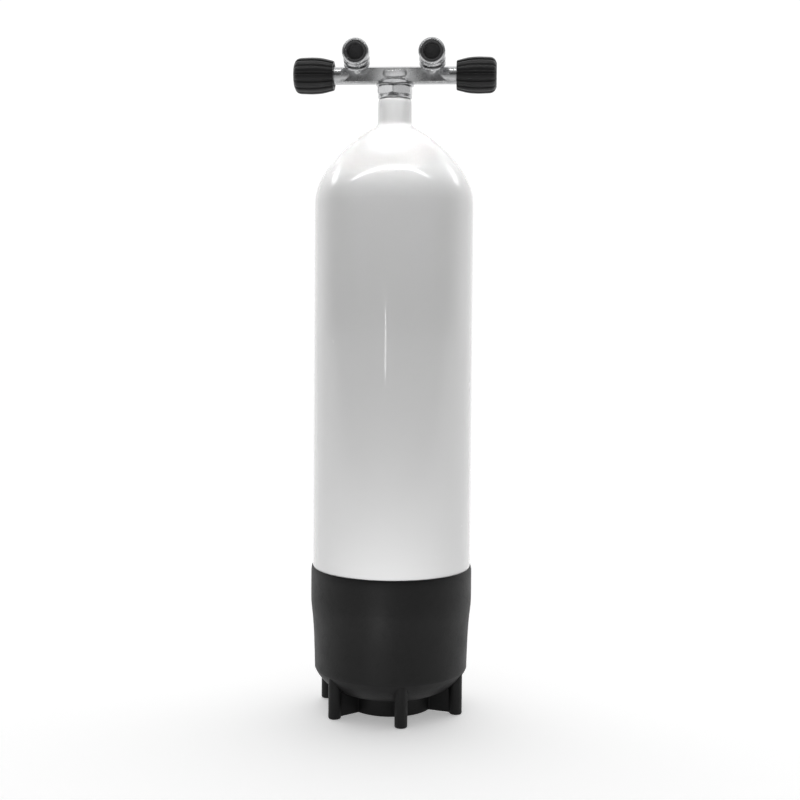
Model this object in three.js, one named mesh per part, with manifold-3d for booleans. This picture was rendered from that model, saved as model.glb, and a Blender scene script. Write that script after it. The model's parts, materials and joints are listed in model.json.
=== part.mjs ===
// Diving cylinder: a white steel tank standing in a black finned boot, closed by a bar-shaped
// valve with two raised outlets and a ribbed handwheel at each end of the bar.
//
// Frame: millimetres, +Z up along the tank's axis, origin on the floor under that axis.
// +X runs along the valve bar to the right-hand handwheel, -Y is the side the outlets face.
// Every mesh is one physical piece. Pieces that turn or slide are grouped by the axis they move on.

import * as THREE from "three";
import { mergeVertices } from "three/addons/utils/BufferGeometryUtils.js";
import Module from "manifold-3d";

const wasm = await Module();
wasm.setup();

// ---------------------------------------------------------------- driving dimensions
const TANK_R = 85.5; // outside radius of the cylinder
const WALL = 4.1; // its side wall
const TANK_BOTTOM = 24; // lowest point of the domed base
const DOME_TOP = 128; // height where the domed base turns into the straight wall
const DOME_FLOOR = 7; // thickness of the base at its middle
const STRAIGHT_TOP = 549.5; // height where the shoulder starts
const NECK_TOP = 659.3; // top face of the neck
const NECK_BORE = 12.6; // radius of the threaded bore
const NECK_SEAT_R = 15.5; // counterbore for the neck's O-ring
const NECK_SEAT_Z = 656.8;

const BOOT_RIM = 156; // height of the boot's upper edge
const BOOT_R = 87.3; // outside radius of the boot's wall
const BOOT_EDGE_R = 82.9; // outside radius where the wall ends and the bowl starts
const BOOT_EDGE_Z = 45;
const BOWL_BOTTOM = 13.2; // underside of the bowl at the drain
const DRAIN_R = 14; // drain hole in the bowl
const FIN_COUNT = 6;
const FIN_TURN = 12.9; // degrees from -Y to the first fin, towards +X
const POST_R = 6.8; // radius of the round post at each fin's end
const POST_AT = 75.5; // distance of a post's axis from the tank's axis
const FIN_WEB = 4.6; // thickness of a fin
const HUB_OUT = 45.5; // ring that joins the fins
const HUB_IN = 41;
const WEB_Z = 1; // clearance of webs and ring above the floor

const STEM_R = 12.2; // radius over the lower thread of the inlet connector
const STEM_BOTTOM = 632;
const COLLAR_Z = 659.9; // underside of the connector's collar
const HEX_FLATS = 35;
const HEX_TURN = -2.7; // degrees about +Z from a corner facing -Y
const HEX_Z0 = 663.7;
const HEX_Z1 = 673.1;
const SPIGOT_R = 9; // upper spigot, into the valve body
const SPIGOT_TOP = 678.6;
const GAS_R = 2.5; // radius of the gas passages
const DIP_R = 4; // outside radius of the dip tube
const DIP_BORE = 2.5;
const DIP_BOTTOM = 560;
const DIP_TOP = 640.8;

const BAR_Z = 685; // height of the bar's axis
const BAR_R = 9.6; // radius of the bar's round ends and of its top and bottom
const BAR_HALF = 6.3; // half the thickness between the milled flats
const FLAT_END = 49.3; // distance from the middle to where a flat starts to run out
const STUB_START = 57.7; // distance to where the bar is fully round
const STUB_END = 70; // distance to the end of a round end
const FOOT_R = 20.1; // foot disc of the valve body
const FOOT_Z = 673.4;

const OUTLET_X = 40.4; // distance of each outlet from the middle
const OUTLET_RISE = 50; // degrees that an outlet's post rises towards the front
const OUTLET_R = 14.1; // outside radius of an outlet's head
const OUTLET_S = 27.5; // distance along the post from the bar's axis to the head's centre
const OUTLET_FACE = 30; // distance of the head's front face ahead of the bar's axis
const BOSS_NECK_R = 5; // neck between the bar and an outlet's seat ring
const THREAD_R = 10.3; // radius inside the outlet's thread
const THREAD_MOUTH_R = 11.5;
const THREAD_DEPTH = 13;

const SEAT_U = 52; // distance from the middle to the valve seat
const CHAMBER_R = 4.9; // valve chamber around the seat carrier
const BONNET_BORE_R = 6.3; // wider bore that takes the bonnet
const BONNET_U = 62; // where it starts
const SEAT_TRAVEL = 3.125; // lift of the seat between closed and open

const KNOB_START = 66; // distances from the middle to the two ends of a handwheel
const KNOB_END = 108.7;
const RIBS = 14; // ribs round a handwheel

// ---------------------------------------------------------------- helpers
const rad = (d) => (d * Math.PI) / 180;

function solid(geometry) {
  const g = geometry.index ? geometry.toNonIndexed() : geometry.clone();
  g.deleteAttribute("normal");
  g.deleteAttribute("uv");
  const m = mergeVertices(g, 1e-4);
  const made = new wasm.Manifold(
    new wasm.Mesh({
      numProp: 3,
      vertProperties: new Float32Array(m.attributes.position.array),
      triVerts: new Uint32Array(m.index.array),
    }),
  );
  if (made.volume() > 0) return made;
  const flipped = new Uint32Array(m.index.array);
  for (let i = 0; i < flipped.length; i += 3)
    [flipped[i + 1], flipped[i + 2]] = [flipped[i + 2], flipped[i + 1]];
  return new wasm.Manifold(
    new wasm.Mesh({
      numProp: 3,
      vertProperties: new Float32Array(m.attributes.position.array),
      triVerts: flipped,
    }),
  );
}

function geometryOf(manifold) {
  const m = manifold.getMesh();
  const v = new Float32Array(m.numVert * 3);
  for (let i = 0; i < m.numVert; i++)
    v.set(m.vertProperties.subarray(i * m.numProp, i * m.numProp + 3), i * 3);
  const g = new THREE.BufferGeometry();
  g.setAttribute("position", new THREE.BufferAttribute(v, 3));
  g.setIndex(new THREE.BufferAttribute(m.triVerts, 1));
  const flat = g.toNonIndexed();
  flat.computeVertexNormals();
  return flat;
}

// A solid turned about +Z from [radius, height] points, from axis to axis or closed on itself.
function turnedZ(points, segments) {
  const p = points.map(([r, z]) => new THREE.Vector2(r, z));
  const g = new THREE.LatheGeometry(p, segments);
  g.rotateX(Math.PI / 2);
  return solid(g);
}

// The same about +X: [radius, distance along +X].
function turnedX(points, segments) {
  const p = points.map(([r, x]) => new THREE.Vector2(r, x));
  const g = new THREE.LatheGeometry(p, segments);
  g.rotateX(Math.PI / 2);
  g.rotateY(Math.PI / 2);
  return solid(g);
}

const ring = (a, b) => [...a, ...b, a[0]];

// A cylinder between two points.
function rod(from, to, radius, segments, radiusTo = radius) {
  const a = new THREE.Vector3(...from);
  const b = new THREE.Vector3(...to);
  const d = b.clone().sub(a);
  const g = new THREE.CylinderGeometry(radiusTo, radius, d.length(), segments);
  g.applyQuaternion(
    new THREE.Quaternion().setFromUnitVectors(
      new THREE.Vector3(0, 1, 0),
      d.clone().normalize(),
    ),
  );
  const mid = a.add(b).multiplyScalar(0.5);
  g.translate(mid.x, mid.y, mid.z);
  return solid(g);
}

function box(x0, x1, y0, y1, z0, z1) {
  const g = new THREE.BoxGeometry(x1 - x0, y1 - y0, z1 - z0);
  g.translate((x0 + x1) / 2, (y0 + y1) / 2, (z0 + z1) / 2);
  return solid(g);
}

function torusX(r, minor, x, around, across) {
  const g = new THREE.TorusGeometry(r, minor, across, around);
  g.rotateY(Math.PI / 2);
  g.translate(x, 0, 0);
  return solid(g);
}

function hexX(flats, x0, x1) {
  const g = new THREE.CylinderGeometry(
    flats / Math.sqrt(3),
    flats / Math.sqrt(3),
    x1 - x0,
    6,
  );
  g.rotateZ(-Math.PI / 2);
  g.translate((x0 + x1) / 2, 0, 0);
  return solid(g);
}

const MATERIALS = {
  tank_paint: new THREE.MeshStandardMaterial({ color: 0xf2f2f1, roughness: 0.18, metalness: 0 }),
  boot_rubber: new THREE.MeshStandardMaterial({ color: 0x151515, roughness: 0.55, metalness: 0 }),
  valve_chrome: new THREE.MeshStandardMaterial({ color: 0xb4b6b8, roughness: 0.28, metalness: 1 }),
  knob_rubber: new THREE.MeshStandardMaterial({ color: 0x141414, roughness: 0.5, metalness: 0 }),
  knob_insert: new THREE.MeshStandardMaterial({ color: 0x1d1d1f, roughness: 0.45, metalness: 0 }),
  seal_rubber: new THREE.MeshStandardMaterial({ color: 0x0e0e0e, roughness: 0.6, metalness: 0 }),
  valve_brass: new THREE.MeshStandardMaterial({ color: 0xb08d4a, roughness: 0.35, metalness: 1 }),
  steel: new THREE.MeshStandardMaterial({ color: 0xa6a8aa, roughness: 0.3, metalness: 1 }),
  seat_nylon: new THREE.MeshStandardMaterial({ color: 0xe9e4d4, roughness: 0.5, metalness: 0 }),
  plug_plastic: new THREE.MeshStandardMaterial({ color: 0x131313, roughness: 0.5, metalness: 0 }),
};

// The main body of a cut piece, without slivers the cutting may leave.
function main(manifold) {
  return manifold.decompose().sort((a, b) => b.volume() - a.volume())[0];
}

function node(parent, name, manifold, material) {
  const mesh = new THREE.Mesh(geometryOf(manifold), MATERIALS[material]);
  mesh.name = name;
  parent.add(mesh);
  return mesh;
}

const part = new THREE.Group();

// ---------------------------------------------------------------- tank
// Drawn steel shell: domed base, straight wall, ogival shoulder, straight neck.
const SHOULDER = [
  [TANK_R, STRAIGHT_TOP],
  [84.4, 557.5],
  [81.6, 567.5],
  [76.6, 577.5],
  [69.9, 587.5],
  [61.6, 597.6],
  [51.5, 607.7],
  [40.0, 617.2],
  [30.0, 624.1],
  [22.0, 628.8],
  [19.2, 631.9],
  [18.3, 636],
  [18.2, 654.5],
  [17.9, 656.8],
  [16.9, NECK_TOP],
];
const SHOULDER_INSIDE = [
  [NECK_BORE, 628],
  [18, 623],
  [32, 614.5],
  [49, 601],
  [65, 583],
  [77, 562],
  [TANK_R - WALL, 544],
];
const ellipseZ = (r, rMax, zTop, height) =>
  zTop - height * Math.sqrt(Math.max(0, 1 - (r / rMax) ** 2));
const outerDome = [];
for (let i = 0; i <= 8; i++) {
  const t = rad(-90 + 11.25 * i);
  outerDome.push([
    i ? TANK_R * Math.cos(t) : 0,
    DOME_TOP + (DOME_TOP - TANK_BOTTOM) * Math.sin(t),
  ]);
}
const innerDome = [];
for (let i = 4; i >= 0; i--) {
  const t = rad(-90 + 22.5 * i);
  innerDome.push([
    i ? (TANK_R - WALL) * Math.cos(t) : 0,
    DOME_TOP + (DOME_TOP - TANK_BOTTOM - DOME_FLOOR) * Math.sin(t),
  ]);
}
node(
  part,
  "cylinder_shell",
  turnedZ(
    [
      ...outerDome,
      ...SHOULDER.slice(1),
      [NECK_SEAT_R, NECK_TOP],
      [NECK_SEAT_R, NECK_SEAT_Z],
      [NECK_BORE, NECK_SEAT_Z],
      ...SHOULDER_INSIDE,
      ...innerDome,
    ].filter(([, z], i, all) => !i || z !== all[i - 1][1] || all[i][0] !== all[i - 1][0]),
    40,
  ),
  "tank_paint",
);

// ---------------------------------------------------------------- boot
// A cup stretched over the base; six posts stand on webs under it, joined by a ring.
const BOWL = [
  [81, 41.4],
  [78.4, 37.4],
  [74.5, 33],
  [69, 28.3],
  [61, 23.4],
  [50, 19],
  [37, 15.6],
  [22, 13.6],
  [DRAIN_R, BOWL_BOTTOM],
];
const seatZ = (r) => ellipseZ(r, TANK_R, DOME_TOP, DOME_TOP - TANK_BOTTOM) - 0.5;
const bootProfile = [
  // outside, from the rim down
  [85.95, BOOT_RIM],
  [86.3, BOOT_RIM],
  [BOOT_R, BOOT_RIM - 5],
  [BOOT_R - 0.05, 118],
  [85.4, 100.8],
  [84.1, 83],
  [83.4, 63],
  [BOOT_EDGE_R, BOOT_EDGE_Z],
  ...BOWL,
  // inside, from the drain up
  [DRAIN_R, BOWL_BOTTOM + 2.6],
  [36.5, 18.1],
  [40, 19.06],
  [40, seatZ(40)],
  [46, seatZ(46) - 0.3],
  [46, 20.72],
  [49.2, 21.6],
  [59.8, 26.1],
  [67.3, 30.8],
  [72.4, 35],
  [76, 38.9],
  [78.5, 42.5],
  [80.2, 46],
  [80.8, 66],
  [81.7, 84],
  [83.3, 101],
  [85.95, 120],
];
let boot = turnedZ([...bootProfile, bootProfile[0]].reverse(), 40);
// what may be filled by posts, webs and ring: everything below the bowl's mid-thickness
const underBowl = [
  [0, -1],
  [90, -1],
  [90, BOOT_EDGE_Z - 0.6],
  [81.9, BOOT_EDGE_Z - 0.6],
  ...BOWL.map(([r, z]) => [r, z + 1.2]),
  [0, BOWL_BOTTOM + 1.2],
];
const hub = (() => {
  const p = [
    [HUB_IN, WEB_Z],
    [HUB_OUT, WEB_Z],
    [HUB_OUT, 24],
    [HUB_IN, 24],
  ];
  return turnedZ([...p, p[0]], 40);
})();
let fins = hub;
for (let i = 0; i < FIN_COUNT; i++) {
  const web = box(-FIN_WEB / 2, FIN_WEB / 2, -POST_AT, -HUB_OUT + 2, WEB_Z, 46);
  const post = turnedZ(
    [
      [0, 0],
      [POST_R - 0.9, 0],
      [POST_R, 0.9],
      [POST_R, 46],
      [0, 46],
    ],
    14,
  ).translate([0, -POST_AT, 0]);
  fins = fins.add(web.add(post).rotate([0, 0, FIN_TURN + (360 / FIN_COUNT) * i]));
}
boot = main(boot.add(fins.intersect(turnedZ(underBowl, 40))));
node(part, "boot", boot, "boot_rubber");

// ---------------------------------------------------------------- inlet connector and what seals it
const bodyOfStem = [
  [4.3, STEM_BOTTOM],
  [11.2, STEM_BOTTOM],
  [STEM_R, STEM_BOTTOM + 1.4],
  [STEM_R, COLLAR_Z],
  [17.2, COLLAR_Z],
  [18.1, COLLAR_Z + 0.9],
  [18.1, HEX_Z0],
  [17.3, HEX_Z0 + 0.3],
  [15.8, HEX_Z1 - 0.3],
  [SPIGOT_R, HEX_Z1 - 0.1],
  [SPIGOT_R, SPIGOT_TOP - 0.8],
  [SPIGOT_R - 0.8, SPIGOT_TOP],
  [GAS_R, SPIGOT_TOP],
  [GAS_R, DIP_TOP + 0.4],
  [4.3, DIP_TOP + 0.4],
];
const hexCorner = HEX_FLATS / Math.sqrt(3);
const hexBlank = solid(
  new THREE.CylinderGeometry(hexCorner, hexCorner, HEX_Z1 - HEX_Z0, 6).rotateX(Math.PI / 2),
)
  .rotate([0, 0, HEX_TURN])
  .translate([0, 0, (HEX_Z0 + HEX_Z1) / 2]);
const hexTrim = turnedZ(
  [
    [14, HEX_Z0],
    [17.9, HEX_Z0],
    [hexCorner - 0.1, HEX_Z0 + 1.5],
    [hexCorner - 0.1, HEX_Z1 - 1.2],
    [18.2, HEX_Z1],
    [14, HEX_Z1],
    [14, HEX_Z0],
  ],
  36,
);
const connector = main(
  turnedZ([...bodyOfStem, bodyOfStem[0]], 30).add(hexBlank.intersect(hexTrim)),
);
node(part, "inlet_connector", connector, "valve_chrome");

const oRingZ = (r, minor, across = 6, around = 24) =>
  solid(new THREE.TorusGeometry(r, minor, across, around));
node(part, "neck_oring", oRingZ(13.85, 1.2), "seal_rubber").position.z = NECK_SEAT_Z + 1.55;
node(part, "connector_oring", oRingZ(11.0, 0.85), "seal_rubber").position.z = 674.45;

// Anti-debris tube, fixed in the foot of the connector.
node(
  part,
  "dip_tube",
  turnedZ(
    [
      [DIP_BORE, DIP_BOTTOM],
      [DIP_R - 0.3, DIP_BOTTOM],
      [DIP_R, DIP_BOTTOM + 0.8],
      [DIP_R, DIP_TOP],
      [DIP_BORE, DIP_TOP],
      [DIP_BORE, DIP_BOTTOM],
    ],
    20,
  ),
  "steel",
);

// ---------------------------------------------------------------- valve body
const SIN = Math.sin(rad(OUTLET_RISE));
const COS = Math.cos(rad(OUTLET_RISE));
// a point s along an outlet's post, in the valve's frame (origin on the bar's axis)
const along = (x, s) => [x, -s * COS, s * SIN];
// a solid turned about a post: [radius, s]
function turnedPost(points, x, segments) {
  return turnedZ(points, segments)
    .rotate([90 - OUTLET_RISE, 0, 0])
    .translate([x, 0, 0]);
}

const valve = new THREE.Group();
valve.position.z = BAR_Z;
part.add(valve);

// bar: a round bar with milled flats front and back that run out in cones
const barSection = new THREE.Shape();
const barHigh = Math.sqrt(BAR_R ** 2 - BAR_HALF ** 2);
const sweep = Math.asin(BAR_HALF / BAR_R);
const sectionPoints = [];
for (let i = 0; i <= 5; i++) {
  const a = Math.PI / 2 - sweep + (2 * sweep * i) / 5;
  sectionPoints.push([BAR_R * Math.cos(a), BAR_R * Math.sin(a)]);
}
for (let i = 0; i <= 5; i++) {
  const a = (3 * Math.PI) / 2 - sweep + (2 * sweep * i) / 5;
  sectionPoints.push([BAR_R * Math.cos(a), BAR_R * Math.sin(a)]);
}
sectionPoints.forEach(([y, z], i) => (i ? barSection.lineTo(y, z) : barSection.moveTo(y, z)));
barSection.closePath();
const slab = solid(
  new THREE.ExtrudeGeometry(barSection, { depth: 2 * (STUB_START + 2), bevelEnabled: false }),
)
  .rotate([90, 0, 90])
  .translate([-(STUB_START + 2), 0, 0]);
const slope = (BAR_R - BAR_HALF) / (STUB_START - FLAT_END);
const stub = turnedX(
  [
    [0, FLAT_END - 2.3 / slope],
    [BAR_HALF - 2.3, FLAT_END - 2.3 / slope],
    [BAR_R, STUB_START],
    [BAR_R, STUB_END - 0.6],
    [BAR_R - 0.6, STUB_END],
    [0, STUB_END],
  ],
  24,
);
let body = slab.add(stub).add(stub.rotate([0, 0, 180]));

// domed foot over the connector
const foot = [
  [0, FOOT_Z],
  [FOOT_R - 0.3, FOOT_Z],
  [FOOT_R, FOOT_Z + 0.4],
  [FOOT_R, FOOT_Z + 2.0],
  [FOOT_R - 0.4, FOOT_Z + 2.3],
  [17.8, 678],
  [14.4, 679.7],
  [13, 680.5],
  [6, 682.1],
  [0, 682.6],
].map(([r, z]) => [r, z - BAR_Z]);
body = body.add(turnedZ(foot, 30));

// blank oval pad on the front flat
const pad = new THREE.Shape();
for (let i = 0; i < 16; i++) {
  const a = (i / 16) * 2 * Math.PI;
  const cx = 8.4 * Math.sign(Math.cos(a) || 1);
  const x = (Math.abs(Math.cos(a)) < 1e-9 ? 0 : cx) + 3.4 * Math.cos(a);
  const z = 3.35 * Math.sin(a);
  i ? pad.lineTo(x, z) : pad.moveTo(x, z);
}
pad.closePath();
body = body.add(
  solid(new THREE.ExtrudeGeometry(pad, { depth: 1.5, bevelEnabled: false }))
    .rotate([90, 0, 0])
    .translate([0, -BAR_HALF + 0.9, 1.2]),
);

// necks and seat rings that carry the outlets
for (const side of [-1, 1]) {
  const x = side * OUTLET_X;
  body = body
    .add(rod([x, -1.2, 5], along(x, 13.6), BOSS_NECK_R, 20))
    .add(
      turnedPost(
        [
          [0, 13.3],
          [13.6, 13.3],
          [14, 13.7],
          [14, 15.5],
          [13.6, 15.9],
          [0, 15.9],
        ],
        x,
        24,
      ),
    );
}
// nothing of a boss shows behind the back flat
for (const side of [-1, 1]) {
  const x0 = side * OUTLET_X;
  const behind = box(x0 - 8.8, x0 + 8.8, BAR_HALF, BAR_HALF + 12, -12, 12);
  body = body.subtract(behind);
}

// socket for the connector and its seal, and the gas passages
body = body.subtract(
  turnedZ(
    [
      [0, FOOT_Z - 1 - BAR_Z],
      [12.4, FOOT_Z - 1 - BAR_Z],
      [12.4, FOOT_Z + 2.3 - BAR_Z],
      [SPIGOT_R + 0.3, FOOT_Z + 2.3 - BAR_Z],
      [SPIGOT_R + 0.3, SPIGOT_TOP + 0.4 - BAR_Z],
      [0, SPIGOT_TOP + 0.4 - BAR_Z],
    ],
    28,
  ),
);
body = body.subtract(rod([0, 0, SPIGOT_TOP - BAR_Z], [0, 0, 0.01], GAS_R, 12));
body = body.subtract(rod([-SEAT_U - 1, 0, 0], [SEAT_U + 1, 0, 0], GAS_R, 12));
for (const side of [-1, 1]) {
  const chamber = turnedX(
    [
      [3.4, SEAT_U - 1.2],
      [CHAMBER_R, SEAT_U - 1.2],
      [CHAMBER_R, BONNET_U],
      [BONNET_BORE_R, BONNET_U],
      [BONNET_BORE_R, STUB_END - 1.5],
      [7.6, STUB_END - 1.5],
      [7.6, STUB_END + 1],
      [0, STUB_END + 1],
      [0, SEAT_U],
      [3.4, SEAT_U],
      [3.4, SEAT_U - 1.2],
    ].reverse(),
    24,
  );
  body = body.subtract(side < 0 ? chamber.rotate([0, 0, 180]) : chamber);
  const x = side * OUTLET_X;
  // shallow socket of the seat ring, and the drilling that joins it to the valve chamber
  body = body
    .subtract(turnedPost([[0, 14], [8, 14], [8, 14.4], [9.9, 14.4], [9.9, 17], [0, 17]], x, 24))
    .subtract(rod([side * (SEAT_U + 4), 0, 4.5], [x, -1.2, 6.8], 1.4, 8))
    .subtract(rod([x, -1.2, 6], along(x, 14.3), 2, 10));
}
node(valve, "valve_body", main(body), "valve_chrome");

// ---------------------------------------------------------------- outlets
// Elbow seated on the body's boss: flanged post, then a level threaded mouth facing forward.
const HEAD_Y = -OUTLET_S * COS;
const HEAD_Z = OUTLET_S * SIN;
// a solid turned about the mouth's axis: [radius, depth behind the front face]
function turnedMouth(points, segments) {
  return turnedZ(points, segments)
    .rotate([-90, 0, 0])
    .translate([0, -OUTLET_FACE, HEAD_Z]);
}
function outletElbow() {
  const headDepth = OUTLET_FACE + HEAD_Y; // from the face to the head's centre
  const head = [
    [0, 0],
    [OUTLET_R - 1.1, 0],
    [OUTLET_R - 0.3, 0.5],
    [OUTLET_R, 1.4],
  ];
  for (let i = 0; i <= 5; i++) {
    const t = rad(18 * i);
    head.push([i === 5 ? 0 : OUTLET_R * Math.cos(t), headDepth + OUTLET_R * Math.sin(t)]);
  }
  let e = turnedMouth(head, 28);
  // nothing of the head below the boss's upper face
  e = e.subtract(turnedPost([[0, -20], [40, -20], [40, 16.2], [0, 16.2]], 0, 8));
  e = e
    .add(
      turnedPost(
        [
          [0, 14.3],
          [7.2, 14.3],
          [7.7, 14.8],
          [7.7, 16.2],
          [12.2, 16.2],
          [12.6, 16.6],
          [12.6, 19.1],
          [13.7, 19.1],
          [14.1, 19.5],
          [14.1, 21.0],
          [13.7, 21.4],
          [0, 21.4],
        ],
        0,
        24,
      ),
    );
  e = e.subtract(
    turnedMouth(
      [
        [0, -1],
        [THREAD_MOUTH_R + 0.4, -1],
        [THREAD_MOUTH_R, 0.1],
        [THREAD_R, 1.4],
        [THREAD_R, THREAD_DEPTH - 0.6],
        [THREAD_R - 0.6, THREAD_DEPTH],
        [0, THREAD_DEPTH],
      ],
      28,
    ),
  );
  return main(
    e
      .subtract(rod([0, -OUTLET_FACE + 11, HEAD_Z], [0, HEAD_Y + 1.6, HEAD_Z], GAS_R, 10))
      .subtract(rod(along(0, 13), along(0, OUTLET_S - 0.3), GAS_R, 10)),
  );
}
// Push-in cap: a thin cup, open to the front.
const dustPlug = () =>
  turnedZ(
    [
      [0, 11.4],
      [9.0, 11.4],
      [9.8, 10.4],
      [10.0, 1.6],
      [10.6, 0.9],
      [10.4, 0.5],
      [9.2, 0.5],
      [8.9, 0.9],
      [8.5, 9.8],
      [0, 9.8],
    ],
    28,
  ).rotate([-90, 0, 0]);
for (const [side, name] of [
  [-1, "left"],
  [1, "right"],
]) {
  const g = new THREE.Group();
  g.position.x = side * OUTLET_X;
  valve.add(g);
  node(g, name + "_outlet", outletElbow(), "valve_chrome");
  const seal = node(g, name + "_outlet_oring", oRingZ(8.8, 0.6), "seal_rubber");
  seal.position.set(...along(0, 15.2));
  seal.rotation.x = rad(90 - OUTLET_RISE);
  const plug = node(g, name + "_dust_plug", dustPlug(), "plug_plastic");
  plug.position.set(0, -OUTLET_FACE, HEAD_Z);
}

// ---------------------------------------------------------------- one end of the bar
// Built along +X; the left-hand end is the same set turned half a turn about the tank's axis.
const closed = (points) => [...points, points[0]];
function bonnet() {
  const sleeve = turnedX(
    closed([
      [CHAMBER_R, BONNET_U + 0.4],
      [5.6, BONNET_U + 0.4],
      [6.0, BONNET_U + 0.9],
      [6.0, STUB_END + 0.4],
      [7.0, STUB_END + 0.4],
      [7.0, 75],
      [3.3, 75],
      [3.3, 68.6],
      [CHAMBER_R, 68.6],
    ]),
    22,
  );
  const flange = hexX(15, STUB_END + 0.35, 74.6).subtract(
    rod([STUB_END - 1, 0, 0], [76, 0, 0], 5, 22),
  );
  return main(sleeve.add(flange));
}
function spindle() {
  const shaft = turnedX(
    [
      [0, 64.9],
      [2.4, 64.9],
      [2.4, 65.2],
      [4.3, 65.2],
      [4.3, 66.8],
      [3.0, 66.8],
      [3.0, 71.2],
      [2.0, 71.2],
      [2.0, 72.6],
      [3.0, 72.6],
      [3.0, 76.6],
      [2.2, 76.6],
      [2.2, 98.2],
      [1.8, 98.6],
      [0, 98.6],
    ],
    16,
  );
  return main(
    shaft
      .add(box(59.2, 65.4, -1.6, 1.6, -1.6, 1.6))
      .add(box(76.2, 90, -2.5, 2.5, -2.5, 2.5)),
  );
}
const seatCarrier = () =>
  main(
    turnedX(
      closed([
        [0.001, 54.8],
        [3.9, 54.8],
        [3.9, 53],
        [4.2, 53],
        [4.5, 53.4],
        [4.5, 61.2],
        [4.2, 61.5],
        [0.001, 61.5],
      ]),
      20,
    ).subtract(box(55.7, 62, -1.9, 1.9, -1.9, 1.9)),
  );
const GRIP = [
  [15.4, KNOB_START],
  [16.4, 67.7],
  [17.5, 72.3],
  [18.9, 79.5],
  [19.6, 89.5],
  [19.3, 100],
  [18.6, 103.9],
  [17.2, 106.5],
  [14.2, KNOB_END],
];
const GROOVE = [0.55, 1.3, 1.35, 1.35, 1.35, 1.35, 1.3, 1.05, 0.35]; // depth at each of those rings
function knobGrip() {
  const profile = closed([
    [11.5, KNOB_START],
    ...GRIP,
    [9.2, KNOB_END],
    [8.3, KNOB_END - 0.7],
    [8.3, 100.4],
    [11.3, 100.4],
    [11.3, 76.8],
    [11.5, 76.6],
  ]);
  const g = new THREE.LatheGeometry(
    profile.map(([r, u]) => new THREE.Vector2(r, u)),
    RIBS * 4,
  );
  const p = g.getAttribute("position");
  const rows = profile.length;
  for (let j = 0; j <= RIBS * 4; j++) {
    const k = j % 4; // two vertices on a rib, two in the groove beside it
    const shift = rad((360 / RIBS) * [0.04, -0.04, 0.03, -0.03][k]);
    for (let i = 0; i < rows; i++) {
      const inOuter = i >= 1 && i <= GRIP.length;
      if (!inOuter) continue;
      const v = j * rows + i;
      const r = profile[i][0] - (k >= 2 ? GROOVE[i - 1] : 0);
      const a = (j * 2 * Math.PI) / (RIBS * 4) - shift;
      p.setX(v, r * Math.sin(a));
      p.setZ(v, r * Math.cos(a));
    }
  }
  g.rotateX(Math.PI / 2);
  g.rotateY(Math.PI / 2);
  return main(solid(g));
}
// Moulded core of the handwheel, driven by the spindle's square.
const knobCore = () =>
  main(
    turnedX(
      closed([
        [1, 77.1],
        [10.4, 77.1],
        [11, 77.7],
        [11, 100],
        [7, 100],
        [7, 86],
        [1, 86],
      ]),
      24,
    ).subtract(box(76, 87, -2.8, 2.8, -2.8, 2.8)),
  );
function knobSpring() {
  const turns = 3.75;
  const r = 4.9;
  const wire = 0.6;
  const x0 = 87;
  const x1 = 93.3;
  const n = Math.round(turns * 10);
  const points = [];
  for (let i = 0; i <= n; i++) {
    const t = i / n;
    const a = t * turns * 2 * Math.PI;
    points.push(new THREE.Vector3(x0 + (x1 - x0) * t, r * Math.cos(a), r * Math.sin(a)));
  }
  const shape = new THREE.Shape();
  for (let i = 0; i < 5; i++) {
    const a = (i * 2 * Math.PI) / 5;
    i ? shape.lineTo(wire * Math.cos(a), wire * Math.sin(a)) : shape.moveTo(wire, 0);
  }
  shape.closePath();
  return solid(
    new THREE.ExtrudeGeometry(shape, {
      steps: n,
      extrudePath: new THREE.CatmullRomCurve3(points),
      bevelEnabled: false,
    }),
  );
}
const disc = (inner, outer, x0, x1, segments) =>
  turnedX(
    inner
      ? closed([
          [inner, x0],
          [outer, x0],
          [outer, x1],
          [inner, x1],
        ])
      : [
          [0, x0],
          [outer, x0],
          [outer, x1],
          [0, x1],
        ],
    segments,
  );
const knobNut = () =>
  main(
    hexX(11, 94.3, 98.4)
      .intersect(
        turnedX(
          [
            [0, 94.3],
            [6.3, 94.3],
            [6.3, 97.8],
            [5.4, 98.4],
            [0, 98.4],
          ],
          24,
        ),
      )
      .subtract(rod([94, 0, 0], [99, 0, 0], 2.5, 20)),
  );

for (const [turn, name] of [
  [180, "left"],
  [0, "right"],
]) {
  const end = new THREE.Group();
  end.rotation.z = rad(turn);
  valve.add(end);
  node(end, name + "_bonnet", bonnet(), "valve_chrome");
  node(end, name + "_bonnet_oring", torusX(6.8, 0.45, 0, 22, 6), "seal_rubber").position.x = 69.4;

  const wheel = new THREE.Group(); // turns about the bar's axis
  end.add(wheel);
  node(wheel, name + "_spindle", spindle(), "valve_brass");
  node(wheel, name + "_spindle_oring", torusX(2.65, 0.38, 0, 16, 5), "seal_rubber").position.x = 71.9;
  node(wheel, name + "_thrust_washer", disc(3.3, 4.6, 67.1, 68.2, 20), "seat_nylon");
  node(wheel, name + "_knob_grip", knobGrip(), "knob_rubber");
  node(wheel, name + "_knob_core", knobCore(), "knob_insert");
  node(wheel, name + "_knob_spring", knobSpring(), "steel");
  node(wheel, name + "_knob_nut", knobNut(), "steel");

  const seat = new THREE.Group(); // turns with the wheel and lifts SEAT_TRAVEL off the seat
  wheel.add(seat);
  node(seat, name + "_seat_carrier", seatCarrier(), "valve_brass");
  node(seat, name + "_seat_disc", disc(0, 3.6, 52.3, 54.5, 20), "seat_nylon");
}

export default part;
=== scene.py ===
import json
import math

import bpy
import bmesh
from mathutils import Matrix, Vector

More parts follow.
